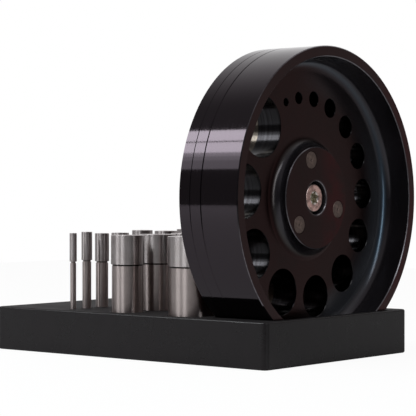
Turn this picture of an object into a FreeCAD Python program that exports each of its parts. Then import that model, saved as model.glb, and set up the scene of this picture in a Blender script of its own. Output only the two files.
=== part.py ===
import FreeCAD, Part
import math
import os

# Jewelers disc cutter. Two thick steel discs stand on edge in a slot of a base block: the die
# plate, and in front of it the guide plate, which steers a punch into the matching die hole.
# Sheet metal goes between the two and the clamp screw closes them on it. Each hole has its own
# stepped punch, which stands in a socket beside the discs.
# Sizes are in millimetres. +X runs along the base towards the face of the discs, +Y across the
# base and +Z up. The origin is the middle of the base's underside.

INCH = 25.4
SIXTEENTH = INCH / 16

# Base block
base_length = 6 * INCH
base_depth = 4 * INCH
base_height = 12 * SIXTEENTH
base_corner_radius = 2.5
base_edge_radius = 0.8

# Slot that holds the discs: a round-bottomed cradle, closed at both ends. The front clearance
# lets the plates open by the thickness of a sheet while they stand in the slot.
slot_floor = 4.1
slot_lip = 3.1
slot_front_clearance = 1.1
slot_back_clearance = 0.5
slot_round_clearance = 0.3

# Discs
disc_radius = 2.5 * INCH
die_thickness = 11.4
guide_thickness = 18.6
edge_chamfer = 0.35
parting_chamfer = 0.3
turned_line_depth = 0.2
turned_line_width = 0.4
turned_line_from_parting = 5.6

# Face of the guide plate: a raised rim, a ring-shaped pocket and a raised middle boss
rim_wall = 4.5
pocket_depth = 13.4
rim_fillet = 5.5
boss_radius = 21.55
boss_drop = 7.9
boss_fillet = 5.0
least_straight_wall = 0.05

# Punch holes, in sixteenths of an inch, in order round the discs
hole_sizes = [2, 3, 4, 5, 6, 7, 8, 9, 10, 11, 12, 13, 14, 16]
hole_rim_gap = 4.0
web_halvings = 40
first_hole_angle = 109.4
punch_running_clearance = 0.03
hole_edge_break = 0.2
relief_depth = 4.8
relief_step = 0.35

# Guide pins: pressed into the die plate, sliding in the guide plate
pin_radius = 3.75
pin_circle_radius = 16.3
pin_angles = [102.7, -17.3, -137.3]
pin_press_clearance = 0.02
pin_running_clearance = 0.03
pin_short_of_back = 0.5
pin_end_chamfer = 0.3
pin_dimple_radius = 0.7
pin_dimple_depth = 0.6

# Clamp screw
screw_head_radius = 6.0
screw_head_height = 5.0
screw_head_drop = 1.0
screw_head_rounding = 0.9
screw_thread_radius = 4.0
screw_thread_clearance = 0.05
screw_short_of_back = 0.6
screw_end_chamfer = 0.8
screw_shank_clearance = 0.35
counterbore_clearance = 1.0
drive_lobes = 6
drive_tip_radius = 2.95
drive_flank_radius = 2.6
drive_flank_angle = 11.0
drive_valley_radius = 2.05
drive_depth = 2.6
drive_turn = 75.0
drive_mouth_radius = 3.1
drive_mouth_depth = 0.5

# Punches: a cutting head of the full size above a slightly thinner shank
punch_length = 28 * SIXTEENTH
punch_head_length = 12.5
punch_shank_step = 0.4
thin_punch_shank_step = 0.3
thin_punch_size = 2
punch_end_chamfer = 0.3
punch_head_chamfer = 0.12
punch_neck_width = 0.7
punch_neck_depth = 0.3

# Punch stand: three rows across the base. Each row's distance is measured from the slot, and
# the webs, front margin first, are widened or narrowed alike to fill the depth of the base.
# Some sockets are a little shallower than the rest, and these rises are given by punch size.
socket_floor = 7.5
socket_rises = {2: 0.4, 3: 0.8, 6: 0.9, 7: 0.3, 8: 0.8}
socket_clearance = 0.25
socket_edge_break = 0.3
row_sizes = [[2, 3, 4, 5, 6, 7, 8], [9, 10, 11, 12], [13, 14, 16]]
row_distances = [79.5, 48.7, 14.5]
row_webs = [
    [8.2, 4.7, 4.3, 4.9, 6.4, 6.6, 5.3, 5.6],
    [4.2, 4.6, 5.6, 5.8, 14.8],
    [3.5, 5.6, 5.6, 18.7],
]

# How far a cutting tool runs past the stock, so that every cut is a clean one
overrun = 1.0

# Places that follow from the sizes above
disc_face = base_length / 2 - slot_lip - slot_front_clearance
parting_plane = disc_face - guide_thickness
slot_wall = parting_plane - die_thickness - slot_back_clearance
disc_axis_height = slot_floor + slot_round_clearance + disc_radius
rim_inner_radius = disc_radius - rim_wall
pocket_floor = guide_thickness - pocket_depth
boss_face = guide_thickness - boss_drop
largest_hole_radius = max(hole_sizes) * SIXTEENTH / 2
hole_circle_radius = rim_inner_radius - hole_rim_gap - largest_hole_radius
screw_seat = boss_face - screw_head_drop - screw_head_height

ALONG = FreeCAD.Vector(1, 0, 0)
UP = FreeCAD.Vector(0, 0, 1)
CENTRE = FreeCAD.Vector(0, 0, 0)


def rounded_outline(corners):
    """Closed wire through (along, radius, rounding) corners, with an arc where rounding is set."""
    points = [FreeCAD.Vector(along, radius, 0) for along, radius, rounding in corners]
    edges = []
    last = None
    first = None
    for index, corner in enumerate(points):
        rounding = corners[index][2]
        back = (points[index - 1] - corner).normalize()
        ahead = (points[(index + 1) % len(points)] - corner).normalize()
        half = back.getAngle(ahead) / 2
        start = corner
        end = corner
        if rounding > 0:
            start = corner + back * (rounding / math.tan(half))
            end = corner + ahead * (rounding / math.tan(half))
        if last is None:
            first = start
        else:
            edges.append(Part.LineSegment(last, start).toShape())
        if rounding > 0:
            middle = corner + (back + ahead).normalize() * (rounding / math.sin(half) - rounding)
            edges.append(Part.Arc(start, middle, end).toShape())
        last = end
    edges.append(Part.LineSegment(last, first).toShape())
    return Part.Wire(edges)


def turned(corners):
    """Solid turned about the X axis from half a section of (along, radius, rounding) corners."""
    section = Part.Face(rounded_outline(corners))
    return section.revolve(CENTRE, ALONG, 360)


def on_circle(radius, degrees, along=0.0):
    """Point on a circle round the disc axis; 0 degrees is +Y and 90 degrees is up."""
    angle = math.radians(degrees)
    return FreeCAD.Vector(along, radius * math.cos(angle), radius * math.sin(angle))


def drill(radius, centre, start, end):
    """Cylinder along X from start to end."""
    place = FreeCAD.Vector(start, centre.y, centre.z)
    return Part.makeCylinder(radius, end - start, place, ALONG)


def in_place(shape):
    """Move a piece from the disc axis and parting plane to its place above the base."""
    shape.translate(FreeCAD.Vector(parting_plane, 0, disc_axis_height))
    return shape


def hole_radius(size):
    """Radius of the hole for a punch of this many sixteenths."""
    return size * SIXTEENTH / 2 + punch_running_clearance


def hole_steps(web):
    """Angle from each hole to the next, with the same web of metal between all neighbours."""
    steps = []
    for index, size in enumerate(hole_sizes):
        following = hole_sizes[(index + 1) % len(hole_sizes)]
        distance = hole_radius(size) + hole_radius(following) + web
        steps.append(2 * math.degrees(math.asin(distance / (2 * hole_circle_radius))))
    return steps


def hole_angles():
    """Angles of the holes: the web is found by halving until they just fill the circle."""
    thin = 0.0
    thick = 2 * (hole_circle_radius - largest_hole_radius) - overrun
    for halving in range(web_halvings):
        web = (thin + thick) / 2
        if sum(hole_steps(web)) > 360:
            thick = web
        else:
            thin = web
    angles = [first_hole_angle]
    for step in hole_steps(web)[:-1]:
        angles.append(angles[-1] - step)
    return angles


def hole_cutters(start, end, mouth, outward, widening=0.0):
    """Cutters for every punch hole, with its sharp edge broken where it meets the open face."""
    cutters = []
    for size, angle in zip(hole_sizes, hole_angles()):
        radius = hole_radius(size) + widening
        centre = on_circle(hole_circle_radius, angle)
        cutters.append(drill(radius, centre, start, end))
        tip = FreeCAD.Vector(mouth - outward * hole_edge_break, centre.y, centre.z)
        depth = hole_edge_break + overrun
        cutters.append(Part.makeCone(radius, radius + depth, depth, tip, ALONG * outward))
    return cutters


def pin_cutters(clearance, start, end):
    """Cutters for the guide pin holes."""
    radius = pin_radius + clearance
    return [drill(radius, on_circle(pin_circle_radius, angle), start, end) for angle in pin_angles]


def make_guide_plate():
    """Guide plate: turned blank, then the screw's seat, the pin holes and the punch holes."""
    boss_wall = pocket_depth - boss_drop - edge_chamfer - least_straight_wall
    rim_edge = rim_inner_radius + edge_chamfer
    blank = turned([
        (0, 0, 0),
        (boss_face, 0, 0),
        (boss_face, boss_radius - edge_chamfer, 0),
        (boss_face - edge_chamfer, boss_radius, 0),
        (pocket_floor, boss_radius, min(boss_fillet, boss_wall)),
        (pocket_floor, rim_inner_radius, rim_fillet),
        (guide_thickness - edge_chamfer, rim_inner_radius, 0),
        (guide_thickness, rim_edge, 0),
        (guide_thickness, disc_radius - edge_chamfer, 0),
        (guide_thickness - edge_chamfer, disc_radius, 0),
        (parting_chamfer, disc_radius, 0),
        (0, disc_radius - parting_chamfer, 0),
    ])
    cutters = hole_cutters(-overrun, guide_thickness, pocket_floor, 1)
    cutters += pin_cutters(pin_running_clearance, -overrun, boss_face + overrun)
    counterbore_radius = screw_head_radius + counterbore_clearance
    cutters.append(drill(counterbore_radius, CENTRE, screw_seat, boss_face + overrun))
    cutters.append(drill(screw_thread_radius + screw_shank_clearance, CENTRE, -overrun, screw_seat))
    mouth = FreeCAD.Vector(boss_face - edge_chamfer, 0, 0)
    break_depth = edge_chamfer + overrun
    break_radius = counterbore_radius + break_depth
    cutters.append(Part.makeCone(counterbore_radius, break_radius, break_depth, mouth, ALONG))
    return in_place(blank.cut(cutters))


def make_die_plate():
    """Die plate: turned disc with a fine line round its edge, drilled like the guide plate.

    Each hole is relieved at the back, so that a cut disc drops out.
    """
    line_start = turned_line_from_parting - turned_line_width / 2
    line_end = turned_line_from_parting + turned_line_width / 2
    blank = turned([
        (0, 0, 0),
        (0, disc_radius - parting_chamfer, 0),
        (-parting_chamfer, disc_radius, 0),
        (-line_start, disc_radius, 0),
        (-turned_line_from_parting, disc_radius - turned_line_depth, 0),
        (-line_end, disc_radius, 0),
        (edge_chamfer - die_thickness, disc_radius, 0),
        (-die_thickness, disc_radius - edge_chamfer, 0),
        (-die_thickness, 0, 0),
    ])
    back = -die_thickness - overrun
    cutters = [
        drill(hole_radius(size), on_circle(hole_circle_radius, angle), back, overrun)
        for size, angle in zip(hole_sizes, hole_angles())
    ]
    cutters += hole_cutters(back, relief_depth - die_thickness, -die_thickness, -1, relief_step)
    cutters += pin_cutters(pin_press_clearance, back, overrun)
    thread_radius = screw_thread_radius + screw_thread_clearance
    cutters.append(drill(thread_radius, CENTRE, back, overrun))
    return in_place(blank.cut(cutters))


def make_guide_pin(angle):
    """Guide pin, flush with the boss, with a chamfer and a centre dimple in each end."""
    back = pin_short_of_back - die_thickness
    pin = turned([
        (back + pin_dimple_depth, 0, 0),
        (back, pin_dimple_radius, 0),
        (back, pin_radius - pin_end_chamfer, 0),
        (back + pin_end_chamfer, pin_radius, 0),
        (boss_face - pin_end_chamfer, pin_radius, 0),
        (boss_face, pin_radius - pin_end_chamfer, 0),
        (boss_face, pin_dimple_radius, 0),
        (boss_face - pin_dimple_depth, 0, 0),
    ])
    pin.translate(on_circle(pin_circle_radius, angle))
    return in_place(pin)


def drive_recess():
    """Six-lobe recess with a bevelled mouth, as arcs over the tips and through the valleys."""
    top = screw_seat + screw_head_height
    step = 360 / drive_lobes
    edges = []
    for lobe in range(drive_lobes):
        tip = lobe * step + drive_turn
        before = on_circle(drive_flank_radius, tip - drive_flank_angle, top)
        after = on_circle(drive_flank_radius, tip + drive_flank_angle, top)
        crest = on_circle(drive_tip_radius, tip, top)
        valley = on_circle(drive_valley_radius, tip + step / 2, top)
        following = on_circle(drive_flank_radius, tip + step - drive_flank_angle, top)
        edges.append(Part.Arc(before, crest, after).toShape())
        edges.append(Part.Arc(after, valley, following).toShape())
    lobes = Part.Face(Part.Wire(edges)).extrude(ALONG * -drive_depth)
    mouth_bottom = ALONG * (top - drive_mouth_depth)
    narrow_radius = drive_mouth_radius - drive_mouth_depth
    wide_radius = drive_mouth_radius + overrun
    height = drive_mouth_depth + overrun
    return lobes.fuse(Part.makeCone(narrow_radius, wide_radius, height, mouth_bottom, ALONG))


def make_clamp_screw():
    """Clamp screw: its head lies in the guide plate's counterbore, its thread in the die plate."""
    top = screw_seat + screw_head_height
    end = screw_short_of_back - die_thickness
    screw = turned([
        (end, 0, 0),
        (end, screw_thread_radius - screw_end_chamfer, 0),
        (end + screw_end_chamfer, screw_thread_radius, 0),
        (screw_seat, screw_thread_radius, 0),
        (screw_seat, screw_head_radius, 0),
        (top, screw_head_radius, screw_head_rounding),
        (top, 0, 0),
    ])
    return in_place(screw.cut(drive_recess()))


def make_punch(size):
    """Punch standing on the origin: shank, narrow neck and the head that cuts, upwards."""
    head_radius = size * SIXTEENTH / 2
    step = thin_punch_shank_step if size <= thin_punch_size else punch_shank_step
    shank_radius = head_radius - step
    shoulder = punch_length - punch_head_length
    neck_radius = shank_radius - punch_neck_depth
    punch = turned([
        (0, 0, 0),
        (0, shank_radius - punch_end_chamfer, 0),
        (punch_end_chamfer, shank_radius, 0),
        (shoulder - punch_neck_width, shank_radius, 0),
        (shoulder - punch_neck_width, neck_radius, 0),
        (shoulder, neck_radius, 0),
        (shoulder, head_radius - punch_head_chamfer, 0),
        (shoulder + punch_head_chamfer, head_radius, 0),
        (punch_length - punch_head_chamfer, head_radius, 0),
        (punch_length, head_radius - punch_head_chamfer, 0),
        (punch_length, 0, 0),
    ])
    punch.rotate(CENTRE, FreeCAD.Vector(0, 1, 0), -90)
    return punch


def punch_places():
    """Size and (x, y) of every punch in the stand, row by row from the front."""
    places = []
    for sizes, distance, webs in zip(row_sizes, row_distances, row_webs):
        spare = base_depth - sum(sizes) * SIXTEENTH
        stretch = spare / sum(webs)
        front = -base_depth / 2
        for size, web in zip(sizes, webs):
            radius = size * SIXTEENTH / 2
            centre = front + web * stretch + radius
            places.append((size, slot_wall - distance, centre))
            front = centre + radius
    return places


def socket_bottom(size):
    """Height of the bottom of a punch's socket."""
    return socket_floor + socket_rises.get(size, 0)


def make_base_block():
    """Base block: rounded block with the discs' slot and a blind socket for each punch."""
    corner = FreeCAD.Vector(-base_length / 2, -base_depth / 2, 0)
    block = Part.makeBox(base_length, base_depth, base_height, corner)
    upright = [edge for edge in block.Edges if abs(edge.tangentAt(edge.FirstParameter).z) > 0.5]
    block = block.makeFillet(base_corner_radius, upright)
    level = [edge for edge in block.Edges if edge.BoundBox.ZLength < base_height / 2]
    block = block.makeFillet(base_edge_radius, level)

    slot_radius = disc_radius + slot_round_clearance
    slot_width = base_length / 2 - slot_lip - slot_wall
    slot_centre = FreeCAD.Vector(slot_wall, 0, disc_axis_height)
    cutters = [Part.makeCylinder(slot_radius, slot_width, slot_centre, ALONG)]
    for size, x, y in punch_places():
        radius = size * SIXTEENTH / 2 + socket_clearance
        bottom = FreeCAD.Vector(x, y, socket_bottom(size))
        depth = base_height - bottom.z + overrun
        cutters.append(Part.makeCylinder(radius, depth, bottom, UP))
        mouth = FreeCAD.Vector(x, y, base_height - socket_edge_break)
        break_depth = socket_edge_break + overrun
        cutters.append(Part.makeCone(radius, radius + break_depth, break_depth, mouth, UP))
    return block.cut(cutters)


def punch_name(size):
    """Node name of a punch, from its size as a whole or reduced fraction of an inch."""
    divisor = math.gcd(size, 16)
    top, bottom = size // divisor, 16 // divisor
    fraction = str(top) if bottom == 1 else str(top) + "_" + str(bottom)
    return "punch_" + fraction + "_inch"


def make_nodes():
    """Every piece of the tool, by name."""
    nodes = {
        "base_block": make_base_block(),
        "die_plate": make_die_plate(),
        "guide_plate": make_guide_plate(),
        "clamp_screw": make_clamp_screw(),
    }
    for number, angle in enumerate(pin_angles, 1):
        nodes["guide_pin_" + str(number)] = make_guide_pin(angle)
    for size, x, y in punch_places():
        punch = make_punch(size)
        punch.translate(FreeCAD.Vector(x, y, socket_bottom(size)))
        nodes[punch_name(size)] = punch
    return nodes


os.makedirs("parts", exist_ok=True)
for name, shape in make_nodes().items():
    shape.exportStep("parts/" + name + ".step")
    print(name, len(shape.Solids), shape.isValid(), round(shape.Volume / 1000, 2), "cm3")
print("hole angles", [round(angle, 1) for angle in hole_angles()])
print("punch places", [(size, round(x, 1), round(y, 1)) for size, x, y in punch_places()])
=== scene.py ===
# %% [markdown]
# A disc cutter on its base, seen from a little above the bench.
#
# The tool is two thick steel discs that stand on edge in a black base block, with fourteen
# bright punches beside them. Its shapes are all turned, drilled or milled, and the CAD model
# already has them, so this lesson leaves every mesh alone. What is left to make is what the
# shapes are seen by: the camera, the finishes and the light.

# %% Load the tool
import math

import bpy
from mathutils import Matrix, Vector


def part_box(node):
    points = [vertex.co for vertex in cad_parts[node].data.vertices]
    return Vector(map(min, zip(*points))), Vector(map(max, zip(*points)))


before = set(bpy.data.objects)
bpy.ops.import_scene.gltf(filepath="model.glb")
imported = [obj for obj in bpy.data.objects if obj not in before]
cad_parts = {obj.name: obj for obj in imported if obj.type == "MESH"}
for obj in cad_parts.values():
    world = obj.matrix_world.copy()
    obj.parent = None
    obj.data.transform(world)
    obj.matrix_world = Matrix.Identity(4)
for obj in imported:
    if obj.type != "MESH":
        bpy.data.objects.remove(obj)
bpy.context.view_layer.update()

MM = 0.001

# %% [markdown]
# The camera comes first, because every highlight depends on where it stands. A long lens far
# away keeps the discs nearly as round as they are, and the camera looks almost level: the
# top of the base is only a thin sliver. The place and the direction were found by matching
# edges of the base and the discs, so both are kept as numbers and not as a target to track.

# %% Camera
EYE = Vector((486.57, -585.41, 70.76)) * MM
SIGHT = Vector((-0.63526, 0.77223, -0.00979))
LENS = 148.41
SENSOR = 36.0
NEAREST = 0.01
FARTHEST = 20.0

camera_data = bpy.data.cameras.new("camera")
camera_data.lens = LENS
camera_data.sensor_width = SENSOR
camera_data.clip_start = NEAREST
camera_data.clip_end = FARTHEST
camera = bpy.data.objects.new("camera", camera_data)
camera.location = EYE
camera.rotation_euler = SIGHT.to_track_quat("-Z", "Y").to_euler()
bpy.context.collection.objects.link(camera)
bpy.context.scene.camera = camera
bpy.context.scene.view_settings.view_transform = "Standard"
print("camera", [round(v, 3) for v in EYE], "lens", LENS)

# %% [markdown]
# Every finish below is a small sum: so much colour here, a little less gloss there. Shader
# nodes can add and multiply, but a sum drawn as boxes is hard to read. A short class wraps
# a socket, so that 1 - mask in Python places the Math node that does it. Any other node is
# made by one method, which sets the node's choices before its sockets, because some choices
# change which sockets there are. Sockets are given by name, or in a list by their order.


# %% Shader sums
class Value:
    """A socket that can be used in a sum."""

    def __init__(self, nodes, socket):
        self.nodes = nodes
        self.socket = socket

    def math(self, operation, *numbers):
        """A Math node on these numbers."""
        return self.nodes.make("ShaderNodeMath", {"operation": operation}, numbers)

    def __add__(self, other):
        return self.math("ADD", self, other)

    def __sub__(self, other):
        return self.math("SUBTRACT", self, other)

    def __mul__(self, other):
        return self.math("MULTIPLY", self, other)

    def __rsub__(self, other):
        return self.math("SUBTRACT", other, self)

    __radd__ = __add__
    __rmul__ = __mul__

    def to(self, low, high, low_value=0.0, high_value=1.0):
        """Smoothly from one value to another, as this one goes from low to high."""
        settings = {"interpolation_type": "SMOOTHSTEP"}
        numbers = (self, low, high, low_value, high_value)
        return self.nodes.make("ShaderNodeMapRange", settings, numbers)


print("sums ready")

# %% [markdown]
# A Mix node has a set of sockets for each kind of value it can mix. Those for colours come
# late in its list, so their numbers are written down once.

# %% Node trees
MIX_FACTOR = 0
MIX_FIRST_COLOUR = 6
MIX_SECOND_COLOUR = 7
MIX_COLOUR_RESULT = 2


class Nodes:
    """The node tree of a material or of the world."""

    def __init__(self, owner):
        owner.use_nodes = True
        self.tree = owner.node_tree
        self.tree.nodes.clear()

    def make(self, kind, settings=None, sockets=(), output=0):
        """Add a node: its settings first, then the values or links of its sockets."""
        node = self.tree.nodes.new(kind)
        for name, value in (settings or {}).items():
            setattr(node, name, value)
        named = sockets if isinstance(sockets, dict) else dict(enumerate(sockets))
        for name, value in named.items():
            if isinstance(value, Value):
                self.tree.links.new(value.socket, node.inputs[name])
            else:
                node.inputs[name].default_value = value
        return Value(self, node.outputs[output]) if node.outputs else None

    def blend(self, factor, first, second):
        """A colour between two colours."""
        sockets = {
            MIX_FACTOR: factor,
            MIX_FIRST_COLOUR: colour_value(first),
            MIX_SECOND_COLOUR: colour_value(second),
        }
        return self.make("ShaderNodeMix", {"data_type": "RGBA"}, sockets, MIX_COLOUR_RESULT)


def colour_value(colour):
    """A plain colour gets its fourth number, and a linked one stays as it is."""
    return colour if isinstance(colour, Value) else (*colour, 1.0)


print("node trees ready")

# %% [markdown]
# All the steel here was cut on a lathe or a grinder, and that shows more than its colour
# does. The tool leaves fine grooves that run round the axis, so a highlight stays sharp
# round the piece and smears along it. A groove pattern is noise in one direction only: in
# the distance along the axis on a round side, and in the distance from the axis on a face.
# Anisotropy could do it too, but it has to be the same all over a material, and a disc needs
# one way on its side and another on its face. Bump can follow both.


# %% Places and grooves
def object_place(nodes, centre=(0.0, 0.0, 0.0)):
    """Object coordinates in metres, counted from a centre."""
    place = nodes.make("ShaderNodeTexCoord", output="Object")
    sockets = {"Vector": place, "Location": tuple(-v for v in centre)}
    return nodes.make("ShaderNodeMapping", {"vector_type": "POINT"}, sockets)


def axis_values(place):
    """The three values of a place: along the discs' axis, across it and up."""
    split = place.nodes.make("ShaderNodeSeparateXYZ", sockets=[place])
    return [Value(place.nodes, output) for output in split.socket.node.outputs]


def line_noise(nodes, along, width, detail=3.0):
    """Noise that changes along one value only, with grooves about this wide in metres."""
    sockets = {"W": along, "Scale": 1.0 / width, "Detail": detail, "Roughness": 0.6}
    return nodes.make("ShaderNodeTexNoise", {"noise_dimensions": "1D"}, sockets)


def cloud_noise(nodes, place, width, detail=3.0, roughness=0.55):
    """Soft noise in all directions, with spots about this wide in metres."""
    sockets = {"Vector": place, "Scale": 1.0 / width, "Detail": detail, "Roughness": roughness}
    return nodes.make("ShaderNodeTexNoise", {"noise_dimensions": "3D"}, sockets)


def distance_from_axis(first, second):
    """Distance from an axis, from the two places across it."""
    squares = first * first + second * second
    return squares.math("SQRT", squares)


def bump(nodes, height, distance, strength):
    """A normal that follows a height, in metres of relief."""
    sockets = {"Height": height, "Distance": distance, "Strength": strength}
    return nodes.make("ShaderNodeBump", sockets=sockets)


def shader(nodes, sockets):
    """The principled shader with these sockets, on the material's output."""
    surface = nodes.make("ShaderNodeBsdfPrincipled", sockets=sockets)
    nodes.make("ShaderNodeOutputMaterial", sockets={"Surface": surface})


print("grooves ready")

# %% [markdown]
# Black oxide is a thin film on turned steel. It reflects like a very dark metal, so it shows
# the studio as clearly as a mirror would, only far darker. A metallic surface with a dark
# colour does that, and it can be tinted: brown on the faces, redder where the film is worn
# thin, and blue in the pocket's round corner. The round side is polished, the other parts are
# coarser, and the walls of the holes are dull. The widened back end of each die hole is
# almost bare steel. Separate materials would end at hard seams between these parts, so one
# material divides the discs into zones, by place and by slope, and fades from one to the next.

# %% Places on the discs
disc_low, disc_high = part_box("guide_plate")
die_low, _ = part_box("die_plate")
_, pin_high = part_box("guide_pin_1")
FACE = disc_high.x
BOSS_FACE = pin_high.x
DISC_CENTRE = (0.0, 0.0, (disc_low.z + disc_high.z) / 2)
DISC_RADIUS = (disc_high.z - disc_low.z) / 2
RIM_INNER = 59.0 * MM
BOSS_RADIUS = 21.55 * MM
COUNTERBORE = 7.0 * MM
POCKET_DEPTH = 13.4 * MM
RELIEF_DEPTH = 4.8 * MM
POCKET_FLOOR = FACE - POCKET_DEPTH
RELIEF_START = die_low.x + RELIEF_DEPTH
BORDER = 0.2 * MM
print("discs round", DISC_CENTRE, "pocket floor", round(POCKET_FLOOR, 5))

# %% Zones by slope and by place
SQUARE_TO_AXIS = (0.75, 0.98)


def facing(nodes, axis):
    """1 on a surface square to this axis, 0 along it."""
    normal = nodes.make("ShaderNodeNewGeometry", output="Normal")
    split = nodes.make("ShaderNodeSeparateXYZ", sockets=[normal], output=axis)
    return split.math("ABSOLUTE", split)


class DiscZones:
    """Masks of the discs' parts, each 1 on its part and 0 elsewhere."""

    def __init__(self, nodes):
        self.place = object_place(nodes, DISC_CENTRE)
        self.along, self.across, self.up = axis_values(self.place)
        self.radius = distance_from_axis(self.across, self.up)
        self.face = facing(nodes, "X").to(*SQUARE_TO_AXIS)
        within = self.radius.to(RIM_INNER + 0.3 * MM, RIM_INNER + 0.6 * MM, 1.0, 0.0)
        walls = within * (1 - self.face)
        self.hole = walls * self.along.to(POCKET_FLOOR + 0.05 * MM, POCKET_FLOOR)
        self.recess = walls - self.hole
        self.front = self.along.to(POCKET_FLOOR - 0.6 * MM, POCKET_FLOOR - BORDER)
        self.rim = self.radius.to(RIM_INNER - BORDER, RIM_INNER) * self.front
        self.boss = self.radius.to(BOSS_RADIUS - BORDER, BOSS_RADIUS, 1.0, 0.0) * self.front


print("zones ready")

# %% [markdown]
# Each zone has its own colour, and inside a zone it drifts. The red of the faces lies on the
# boss and on the rim, on the side away from the camera, and a broad noise breaks it up. The
# pocket's outer corner is bluest just below the middle, and the one at the boss is brownish.
# The floor is greyer and bluer beside the wall on that same far side: a painted glow that
# stands in for the soft spread of the corner's light line, on a less metallic skin. A painted
# map could hold all this, but sums of places and distances stay sharp at any size, and each
# can be changed by one number.

# %% Colours of the film
OXIDE = {
    "side": (0.045, 0.037, 0.0425),
    "face": (0.027, 0.0155, 0.0150),
    "rim": (0.042, 0.027, 0.027),
    "red": (0.052, 0.0125, 0.0135),
    "painted glow by the wall": (0.045, 0.048, 0.056),
    "corner": (0.062, 0.060, 0.068),
    "blue corner": (0.046, 0.086, 0.128),
    "boss corner": (0.056, 0.051, 0.045),
    "wall": (0.042, 0.037, 0.044),
    "dark hole": (0.012, 0.011, 0.012),
    "light hole": (0.026, 0.025, 0.027),
    "bare": (0.085, 0.072, 0.060),
    "worn": (0.26, 0.24, 0.26),
}
RIM_RED_SHARE = 0.7
RED_EVERYWHERE = 0.18
POCKET_MIDDLE = (34 * MM, 48 * MM)
WALL_SIDE = (40 * MM, 52 * MM)
FOOT_HEIGHT = (0.2 * MM, 1.8 * MM)
OUTER_FOOT_RISE = 0.8 * MM


def face_film(nodes, zones):
    """Brown of the flat faces, with red where the film is thin."""
    patches = cloud_noise(nodes, zones.place, 16 * MM, 4.0, 0.6)
    on_boss = zones.boss * zones.across.to(0.0, 14 * MM)
    on_rim = zones.rim * zones.across.to(10 * MM, 50 * MM) * RIM_RED_SHARE
    redness = patches.to(0.25, 0.6) * (on_boss + on_rim + RED_EVERYWHERE)
    brown = nodes.blend(zones.rim, OXIDE["face"], OXIDE["rim"])
    return nodes.blend(redness, brown, OXIDE["red"])


def glow_and_skin_beside_wall(zones):
    """1 on the pocket's floor beside its wall, on the far side and mostly below: where a glow
    is painted and the skin is duller.
    """
    ring = zones.radius.to(*WALL_SIDE) * (zones.front - zones.rim)
    far_side = zones.across.to(-10 * MM, 20 * MM) * zones.up.to(0.0, 50 * MM, 1.0, 0.4)
    return ring * far_side * (1 - zones.recess)


def recess_film(nodes, zones):
    """Film of the pocket's corners and walls, and 1 at the foot of a corner."""
    outer = zones.radius.to(*POCKET_MIDDLE)
    height = zones.along - POCKET_FLOOR - outer * OUTER_FOOT_RISE
    foot = height.to(*FOOT_HEIGHT, 1.0, 0.0)
    blueness = zones.up.to(-45 * MM, -15 * MM) * zones.up.to(-5 * MM, 35 * MM, 1.0, 0.25)
    corner = nodes.blend(blueness, OXIDE["corner"], OXIDE["blue corner"])
    corner = nodes.blend(outer, OXIDE["boss corner"], corner)
    return nodes.blend(foot, OXIDE["wall"], corner), foot


def hole_film(nodes, zones, grooves, scuffs):
    """Dull film in the holes, nearly bare in their widened back ends."""
    back_end = zones.along.to(RELIEF_START, RELIEF_START - 0.1 * MM)
    dull = nodes.blend(grooves.to(0.3, 0.7), OXIDE["dark hole"], OXIDE["light hole"])
    return nodes.blend(back_end * scuffs.to(0.3, 0.6, 0.5, 1.0), dull, OXIDE["bare"])


print("film colours", len(OXIDE))

# %% [markdown]
# Edges that are handled lose the film and shine as thin light lines. An edge of a turned part
# is a ring, so the worn lines are masks of the distance to a ring, given by its place along
# the axis and its radius. No line is drawn by hand, and a fine noise breaks the lines up. The
# mouth of the screw's counterbore is also rubbed more softly, over a wider line further in.

# %% Worn edges
WORN_RINGS = [
    (FACE, DISC_RADIUS),
    (FACE, RIM_INNER),
    (BOSS_FACE, BOSS_RADIUS),
    (BOSS_FACE, COUNTERBORE),
]
WORN_REACH = 0.38 * MM
MOUTH_RING = (BOSS_FACE - 0.6 * MM, COUNTERBORE)
MOUTH_REACH = 1.1 * MM
MOUTH_SHARE = 0.25


def near_ring(zones, ring, reach):
    """1 on a ring and 0 beyond its reach."""
    gap = distance_from_axis(zones.along - ring[0], zones.radius - ring[1])
    return gap.to(reach * 0.5, reach, 1.0, 0.0)


def worn_edges(zones, scuffs):
    """1 where an edge has lost its film."""
    worn = sum(near_ring(zones, ring, WORN_REACH) for ring in WORN_RINGS)
    mouth = near_ring(zones, MOUTH_RING, MOUTH_REACH) * MOUTH_SHARE
    return worn * scuffs.to(0.25, 0.6, 0.3, 1.0) + mouth


print("worn rings", len(WORN_RINGS) + 1)

# %% [markdown]
# The gloss follows the same zones: a polished side, and so much more roughness elsewhere. In
# the pocket the film is partly a dull skin under a thin coat of oil, so it is less metallic
# there, and a coat adds the sharp part of its reflections.

# %% Black oxide
POLISHED = (0.05, 0.09)
FACE_COARSER = 0.17
RECESS_COARSER = 0.17
HOLE_COARSER = 0.1
OIL_SHARE = 0.3
OIL_ROUGHNESS = 0.12
SKIN_SHARE = 0.25
FOOT_SKIN_SHARE = 0.1
FLOOR_SKIN_SHARE = 0.4


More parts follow.
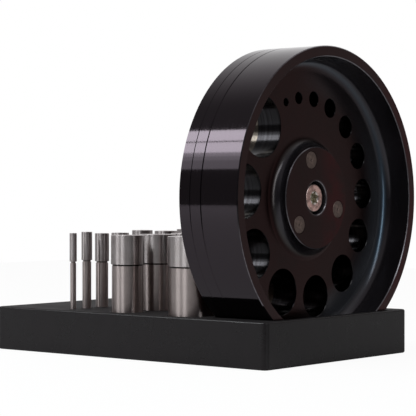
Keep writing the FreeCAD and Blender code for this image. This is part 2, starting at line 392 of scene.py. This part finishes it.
def make_black_oxide():
    """Finish of the two discs."""
    material = bpy.data.materials.new("black_oxide")
    nodes = Nodes(material)
    zones = DiscZones(nodes)
    face, recess, hole = zones.face, zones.recess, zones.hole
    side_grooves = line_noise(nodes, zones.along, 1.2 * MM, 5.0)
    face_grooves = line_noise(nodes, zones.radius, 1.3 * MM, 4.0)
    grooves = side_grooves * (1 - face) + face_grooves * face
    scuffs = cloud_noise(nodes, zones.place, 1.6 * MM, 4.0, 0.7)
    floor_glow_and_skin = glow_and_skin_beside_wall(zones)
    corner, foot = recess_film(nodes, zones)
    film = nodes.blend(face, OXIDE["side"], face_film(nodes, zones))
    # Painted glow: the floor beside the wall is made lighter and bluer, standing in for the
    # spread of the corner's light line.
    film = nodes.blend(floor_glow_and_skin, film, OXIDE["painted glow by the wall"])
    film = nodes.blend(recess, film, corner)
    film = nodes.blend(hole, film, hole_film(nodes, zones, side_grooves, scuffs))
    skin = recess * (foot * FOOT_SKIN_SHARE + SKIN_SHARE) + floor_glow_and_skin * FLOOR_SKIN_SHARE
    coarser = face * FACE_COARSER + recess * RECESS_COARSER + hole * HOLE_COARSER
    shader(nodes, {
        "Base Color": nodes.blend(worn_edges(zones, scuffs), film, OXIDE["worn"]),
        "Metallic": 1 - skin,
        "Roughness": grooves.to(0.2, 0.8, *POLISHED) + coarser,
        "Coat Weight": recess * OIL_SHARE,
        "Coat Roughness": OIL_ROUGHNESS,
        "Normal": bump(nodes, grooves, 0.03 * MM, 0.3),
    })
    return material


black_oxide = make_black_oxide()
print("made", black_oxide.name)

# %% [markdown]
# The punches are ground steel. Their grooves run round them, so each one shows the studio
# as upright light and dark stripes: sharp from side to side, and smeared up and down. Bump
# alone would need grooves finer than a pixel, so the shader's own anisotropy does that, the
# same all over. The heads slide in the guide holes, which has left fine upright scratches,
# and the shanks are a little stained. The narrow neck between the two is painted nearly
# black: painted shade under the step of the head. Each punch gets its own material, because
# the scratches are counted by the angle round its own axis and the painted neck shade by its
# own height. The angle is shifted by the punch's place on the base, so no two punches have
# the same scratches.

# %% Ground steel of the punches
HEAD_LENGTH = 12.5 * MM
NECK = 0.7 * MM
SLIM_PUNCH = 10 * MM
SCRATCH_SHIFT = 90
SCRATCH_ANGLE = 0.22
STREAK = 0.95
STREAK_TURN = 0.25
STEEL = {
    "shank": (0.45, 0.385, 0.37),
    "head": (0.50, 0.455, 0.45),
    "stain": (0.33, 0.28, 0.265),
    "scratch": (0.24, 0.21, 0.205),
    "painted neck shade": (0.02, 0.018, 0.017),
}


def painted_neck_shade(up, low, high):
    """Painted shade in the neck under the head, less of it on a slim punch."""
    amount = min(1.0, (high.x - low.x) / SLIM_PUNCH)
    start = up.to(-NECK * 0.9, -NECK * 0.7, 0.0, amount)
    return start - up.to(-NECK * 0.15, NECK * 0.05, 0.0, amount)


def make_punch_steel(node):
    """Finish of one punch."""
    low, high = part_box(node)
    centre = ((low.x + high.x) / 2, (low.y + high.y) / 2, high.z - HEAD_LENGTH)
    material = bpy.data.materials.new("punch_steel_" + node)
    nodes = Nodes(material)
    place = object_place(nodes, centre)
    along, across, up = axis_values(place)
    angle = across.math("ARCTAN2", across, along)
    scratches = line_noise(nodes, angle + high.x * SCRATCH_SHIFT, SCRATCH_ANGLE, 4.0)
    grooves = line_noise(nodes, up, 0.5 * MM, 4.0)
    stains = cloud_noise(nodes, place, 5 * MM, 4.0)
    head = up.to(-NECK * 0.5, 0.0)
    tint = nodes.blend(head, STEEL["shank"], STEEL["head"])
    tint = nodes.blend(stains.to(0.35, 0.8, 0.0, 0.5), tint, STEEL["stain"])
    scratched = scratches.to(0.25, 0.6, 0.45, 0.0) * head
    tint = nodes.blend(scratched, tint, STEEL["scratch"])
    # Painted shade: the neck under each head is darkened nearly to black.
    tint = nodes.blend(painted_neck_shade(up, low, high), tint, STEEL["painted neck shade"])
    shader(nodes, {
        "Base Color": tint,
        "Metallic": 1.0,
        "Roughness": stains.to(0.2, 0.8, 0.32, 0.37),
        "Anisotropic": STREAK,
        "Anisotropic Rotation": STREAK_TURN,
        "Normal": bump(nodes, scratches + grooves, 0.01 * MM, 0.3),
    })
    return material


punches = [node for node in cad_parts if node.startswith("punch_")]
punch_steels = {node: make_punch_steel(node) for node in punches}
print("punch finishes", len(punch_steels))

# %% [markdown]
# The clamp screw is bright nickel and has been wiped by many keys, so its face has small
# scratches in all directions, while the rounded rim of its head is polished bright and its
# socket is dull. The rim and the socket are told from the face by their depth.

# %% Nickel of the screw
_, screw_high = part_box("clamp_screw")
SCREW_TOP = screw_high.x
SOCKET_TOP = SCREW_TOP - 0.5 * MM
NICKEL = {
    "face": (0.84, 0.55, 0.49),
    "scratch": (0.42, 0.27, 0.24),
    "rim": (0.80, 0.74, 0.70),
    "socket": (0.42, 0.38, 0.28),
}
SOCKET_DIRT = 0.6
RIM_SMOOTHER = 0.08


def make_screw_steel():
    """Finish of the clamp screw."""
    material = bpy.data.materials.new("screw_steel")
    nodes = Nodes(material)
    place = object_place(nodes, DISC_CENTRE)
    along, across, up = axis_values(place)
    rings = line_noise(nodes, distance_from_axis(across, up), 0.5 * MM)
    scratches = cloud_noise(nodes, place, 2.2 * MM, 5.0, 0.7)
    socket = along.to(SCREW_TOP - 0.9 * MM, SOCKET_TOP, 1.0, 0.0)
    rim = along.to(SOCKET_TOP, SCREW_TOP - 0.05 * MM, 1.0, 0.0) * (1 - socket)
    tint = nodes.blend(scratches.to(0.42, 0.58), NICKEL["face"], NICKEL["scratch"])
    tint = nodes.blend(rim, tint, NICKEL["rim"])
    tint = nodes.blend(socket, tint, NICKEL["socket"])
    shader(nodes, {
        "Base Color": tint,
        "Metallic": 1 - socket * SOCKET_DIRT,
        "Roughness": scratches.to(0.2, 0.8, 0.24, 0.4) - rim * RIM_SMOOTHER,
        "Normal": bump(nodes, rings + scratches, 0.05 * MM, 0.5),
    })
    return material


screw_steel = make_screw_steel()
print("made", screw_steel.name)

# %% [markdown]
# The pins were turned flush with the boss after the oxide bath. They are bare steel but dull
# beside it, with the cutter's rings round a small dark middle, so each pin's pattern is
# centred on its own axis.

# %% Ends of the pins
PIN = {
    "light": (0.26, 0.19, 0.165),
    "dark": (0.15, 0.11, 0.095),
    "ring": (0.07, 0.055, 0.05),
    "middle": (0.03, 0.024, 0.022),
}


def make_pin_steel(node):
    """Finish of one guide pin, with its rings centred on it."""
    low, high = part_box(node)
    centre = (0.0, (low.y + high.y) / 2, (low.z + high.z) / 2)
    material = bpy.data.materials.new("pin_steel_" + node)
    nodes = Nodes(material)
    place = object_place(nodes, centre)
    _, across, up = axis_values(place)
    radius = distance_from_axis(across, up)
    rings = line_noise(nodes, radius, 0.9 * MM)
    scratches = cloud_noise(nodes, place, 1 * MM, 5.0)
    tint = nodes.blend(scratches.to(0.3, 0.7), PIN["light"], PIN["dark"])
    tint = nodes.blend(rings.to(0.35, 0.6, 0.5, 0.0), tint, PIN["ring"])
    tint = nodes.blend(radius.to(0.2 * MM, 0.8 * MM, 0.7, 0.0), tint, PIN["middle"])
    shader(nodes, {
        "Base Color": tint,
        "Metallic": 1.0,
        "Roughness": scratches.to(0.2, 0.8, 0.36, 0.5),
        "Normal": bump(nodes, rings + scratches, 0.04 * MM, 0.6),
    })
    return material


pins = [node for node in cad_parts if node.startswith("guide_pin_")]
pin_steels = {node: make_pin_steel(node) for node in pins}
print("pin finishes", len(pin_steels))

# %% [markdown]
# The base is a milled block of black plastic. Its skin has a fine even grain, and broad
# rubbed patches that are a little lighter and duller. Its top is the dullest part, because
# it is worked on, so the roughness also follows the slope.

# %% Black plastic of the base
PLASTIC = (0.0064, 0.0046, 0.0054)
RUBBED_PLASTIC = (0.0086, 0.0064, 0.0074)
PLASTIC_IOR = 1.38
TOP_COARSER = 0.5


def make_base_plastic():
    """Finish of the base block."""
    material = bpy.data.materials.new("base_plastic")
    nodes = Nodes(material)
    place = object_place(nodes)
    grain = cloud_noise(nodes, place, 0.6 * MM, 4.0, 0.6)
    rubbed = cloud_noise(nodes, place, 12 * MM, 4.0)
    level = facing(nodes, "Z").to(0.6, 0.95)
    shader(nodes, {
        "Base Color": nodes.blend(rubbed.to(0.4, 0.7), PLASTIC, RUBBED_PLASTIC),
        "Roughness": rubbed.to(0.3, 0.7, 0.24, 0.35) + level * TOP_COARSER,
        "IOR": PLASTIC_IOR,
        "Normal": bump(nodes, grain, 0.06 * MM, 0.4),
    })
    return material


base_plastic = make_base_plastic()
print("made", base_plastic.name)

# %% Give every piece its finish
finishes = {
    "base_block": base_plastic,
    "die_plate": black_oxide,
    "guide_plate": black_oxide,
    "clamp_screw": screw_steel,
    **pin_steels,
    **punch_steels,
}
for name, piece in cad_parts.items():
    for slot in piece.material_slots:
        slot.material = finishes[name]
print("finished", len(finishes), "pieces")

# %% [markdown]
# Black, shiny things are lit by what they reflect. The world is a white backdrop behind the
# tool, pale paper on the right, low down where the discs' flat faces look, and a dim room
# elsewhere. The room is darkest in front of the discs' open face and low down in front of the
# base. The camera sees plain white everywhere, as on a cut-out photograph, and whatever is
# matt gets one even level. A picture of a studio could do it too, but it can't be tuned part
# by part: here each part is a blend by how far a direction points toward its side.

# %% World
BACKDROP_SIDE = Vector((-0.35, 0.85, 0.40)).normalized()
DARK_SIDE = Vector((0.970, -0.242, 0.0))
UP = Vector((0.0, 0.0, 1.0))
PAPER_SIDE = Vector((0.635, 0.772, 0.0))
FRONT_SIDE = Vector((0.2, -0.98, 0.0))
ROOM = {
    "walls": (0.16, 0.155, 0.16),
    "ceiling": (0.27, 0.265, 0.27),
    "low in front": (0.05, 0.05, 0.055),
    "paper": (0.36, 0.35, 0.35),
    "above the paper": (0.06, 0.06, 0.06),
    "dark side": (0.03, 0.03, 0.035),
    "backdrop": (0.9, 0.89, 0.9),
}
EVEN_LEVEL = (0.45, 0.45, 0.45)
WHITE = (1.0, 1.0, 1.0)


def toward(nodes, direction, side):
    """1 for a direction straight toward a side, 0 square to it."""
    settings = {"operation": "DOT_PRODUCT"}
    return nodes.make("ShaderNodeVectorMath", settings, (direction, side), "Value")


def room_colour(nodes):
    """What gloss sees of the room."""
    direction = nodes.make("ShaderNodeTexCoord", output="Generated")
    above = toward(nodes, direction, UP)
    paper = toward(nodes, direction, PAPER_SIDE)
    front = toward(nodes, direction, FRONT_SIDE).to(0.75, 0.93)
    dark = toward(nodes, direction, DARK_SIDE).to(0.6, 0.95)
    backdrop = toward(nodes, direction, BACKDROP_SIDE).to(0.3, 0.92)
    room = nodes.blend(above.to(0.1, 0.7), ROOM["walls"], ROOM["ceiling"])
    room = nodes.blend(front * above.to(0.15, 0.45, 1.0, 0.0), room, ROOM["low in front"])
    sheet = nodes.blend(above.to(0.12, 0.4), ROOM["paper"], ROOM["above the paper"])
    room = nodes.blend(paper.to(0.8, 0.97), room, sheet)
    room = nodes.blend(dark, room, ROOM["dark side"])
    return nodes.blend(backdrop * paper.to(0.6, 0.85, 1.0, 0.0), room, ROOM["backdrop"])


def studio_world():
    """White for the camera, the room for gloss, and an even level for the rest."""
    world = bpy.data.worlds.new("studio")
    bpy.context.scene.world = world
    nodes = Nodes(world)
    kinds = nodes.make("ShaderNodeLightPath").socket.node.outputs
    seen = Value(nodes, kinds["Is Camera Ray"]) + Value(nodes, kinds["Is Transmission Ray"])
    glossy = Value(nodes, kinds["Is Glossy Ray"])
    colour = nodes.blend(glossy, EVEN_LEVEL, room_colour(nodes))
    colour = nodes.blend(seen, colour, WHITE)
    light = nodes.make("ShaderNodeBackground", sockets={"Color": colour, "Strength": 1.0})
    nodes.make("ShaderNodeOutputWorld", sockets={"Surface": light})
    return world


world = studio_world()
print("world", world.name, "with", len(ROOM), "levels")

# %% [markdown]
# Softboxes make the light stripes. Glowing planes could do it too, but an area lamp needs no
# mesh and no material, and its light has less noise. It is given its energy, while a
# reflection shows its brightness, so the helper works the energy out from the size. It also
# turns the lamp: one edge follows the long way that it is told, and its front faces its
# target. Lamps are hidden from the camera, but not from reflections.

# %% A lamp panel
COOL_WHITE = (0.93, 0.98, 1.0)


def lamp_panel(name, centre, long_way, target, size, radiance):
    """A rectangular lamp: its long way, what it faces, its size and its brightness."""
    back = (centre - target).normalized()
    short_way = long_way.cross(back).normalized()
    turn = Matrix((short_way, back.cross(short_way), back)).transposed()
    data = bpy.data.lights.new(name, "AREA")
    data.shape = "RECTANGLE"
    data.size, data.size_y = size
    data.energy = radiance * math.pi * size[0] * size[1]
    data.color = COOL_WHITE
    lamp = bpy.data.objects.new(name, data)
    lamp.location = centre
    lamp.rotation_euler = turn.to_euler()
    lamp.visible_camera = False
    bpy.context.collection.objects.link(lamp)


print("lamp panel ready")

# %% [markdown]
# Each softbox is placed by what it has to reflect in: as seen from the side of the discs, its
# lower and upper edges stand at these angles above the bench, in degrees, and it runs along
# the bench from one place to another, in metres. On the left, two panels with a thin gap
# between them make the bright band on the discs, with its fine dark line, and three dimmer
# ones under them make it fade downward. The middle one makes the first stripe on each punch.

# %% Softboxes
DISC_SIDE = Vector((0.0, -58.0, 90.0)) * MM
LAMP_DISTANCE = 0.8
ALONG = Vector((1.0, 0.0, 0.0))
LEFT_RUN = (-0.80, -0.36)
MIDDLE_RUN = (-0.17, 0.06)
SOFTBOXES = [
    ("left_upper", (44.0, 53.2), LEFT_RUN, 9.5),
    ("left_lower", (34.5, 43.1), LEFT_RUN, 9.1),
    ("left_skirt_high", (31.5, 34.5), LEFT_RUN, 3.4),
    ("left_skirt_middle", (28.2, 31.5), LEFT_RUN, 2.2),
    ("left_skirt_low", (21.1, 28.2), LEFT_RUN, 1.6),
    ("middle", (35.0, 54.4), MIDDLE_RUN, 15.0),
]


def softbox(name, angles, run, radiance):
    """A long lamp in front of the discs, between two angles above the bench."""
    low, high = (math.radians(angle) for angle in angles)
    middle = (low + high) / 2
    away = Vector((0.0, -math.cos(middle), math.sin(middle))) * LAMP_DISTANCE
    centre = DISC_SIDE + away + ALONG * (run[0] + run[1]) / 2
    size = (2 * LAMP_DISTANCE * math.tan((high - low) / 2), run[1] - run[0])
    lamp_panel(name, centre, ALONG, centre - away, size, radiance)


for box in SOFTBOXES:
    softbox(*box)
print("softboxes", len(SOFTBOXES))

# %% [markdown]
# A narrow upright strip in front on the right makes the second stripe on each punch and the
# thin light line in the pocket's corner. Its foot is a dimmer lamp of its own, because upright
# surfaces look straight at it, and the second stripe is the weaker one.

# %% Strip lamp
STRIP_WAY = Vector((-0.03, 0.03, 1.0)).normalized()
STRIP_FOOT = Vector((0.55, -0.13, 0.0))
STRIP_WIDTH = 0.11
STRIPS = [("strip_low", 0.0, 0.1, 1.8), ("strip_high", 0.1, 0.52, 3.0)]

for name, low, high, radiance in STRIPS:
    centre = STRIP_FOOT + STRIP_WAY * (low + high) / 2
    lamp_panel(name, centre, STRIP_WAY, DISC_SIDE, (STRIP_WIDTH, high - low), radiance)
print("lamps", len(bpy.data.lights))

# %% [markdown]
# The floor is a plain pale sheet. It has to look as white as the backdrop and still carry
# the tool's shadow, so the camera sees part of it as its own light. For all other rays it is
# a greyer sheet, and nearly dark in front of the discs' open face on the near side, or it
# would light the pocket's upper corner from below.

# %% Floor
import bmesh

FLOOR_HALF = 0.75
SEEN_SHEET = (0.95, 0.95, 0.95)
SHEET = (0.66, 0.66, 0.66)
DARK_SHEET = (0.10, 0.10, 0.10)
DARK_ALONG = (0.06, 0.3)
DARK_ACROSS = (0.0, 0.2)
OWN_LIGHT = 0.94


def make_floor_finish():
    """A pale sheet, partly lit by itself for the camera."""
    material = bpy.data.materials.new("pale_sheet")
    nodes = Nodes(material)
    along, across, _ = axis_values(object_place(nodes))
    kinds = nodes.make("ShaderNodeLightPath").socket.node.outputs
    seen = Value(nodes, kinds["Is Camera Ray"])
    dark = along.to(*DARK_ALONG) * across.to(*DARK_ACROSS, 1.0, 0.0)
    tint = nodes.blend(seen, nodes.blend(dark, SHEET, DARK_SHEET), SEEN_SHEET)
    sheet = nodes.make("ShaderNodeBsdfDiffuse", sockets={"Color": tint})
    sockets = {"Color": colour_value(WHITE), "Strength": 1.0}
    glow = nodes.make("ShaderNodeEmission", sockets=sockets)
    mixed = nodes.make("ShaderNodeMixShader", sockets=(seen * OWN_LIGHT, sheet, glow))
    nodes.make("ShaderNodeOutputMaterial", sockets={"Surface": mixed})
    return material


def make_floor():
    """A pale sheet under the tool."""
    shape = bmesh.new()
    bmesh.ops.create_grid(shape, x_segments=1, y_segments=1, size=FLOOR_HALF)
    mesh = bpy.data.meshes.new("floor")
    shape.to_mesh(mesh)
    shape.free()
    mesh.materials.append(make_floor_finish())
    floor = bpy.data.objects.new("floor", mesh)
    bpy.context.collection.objects.link(floor)


make_floor()
print("floor half width", FLOOR_HALF)
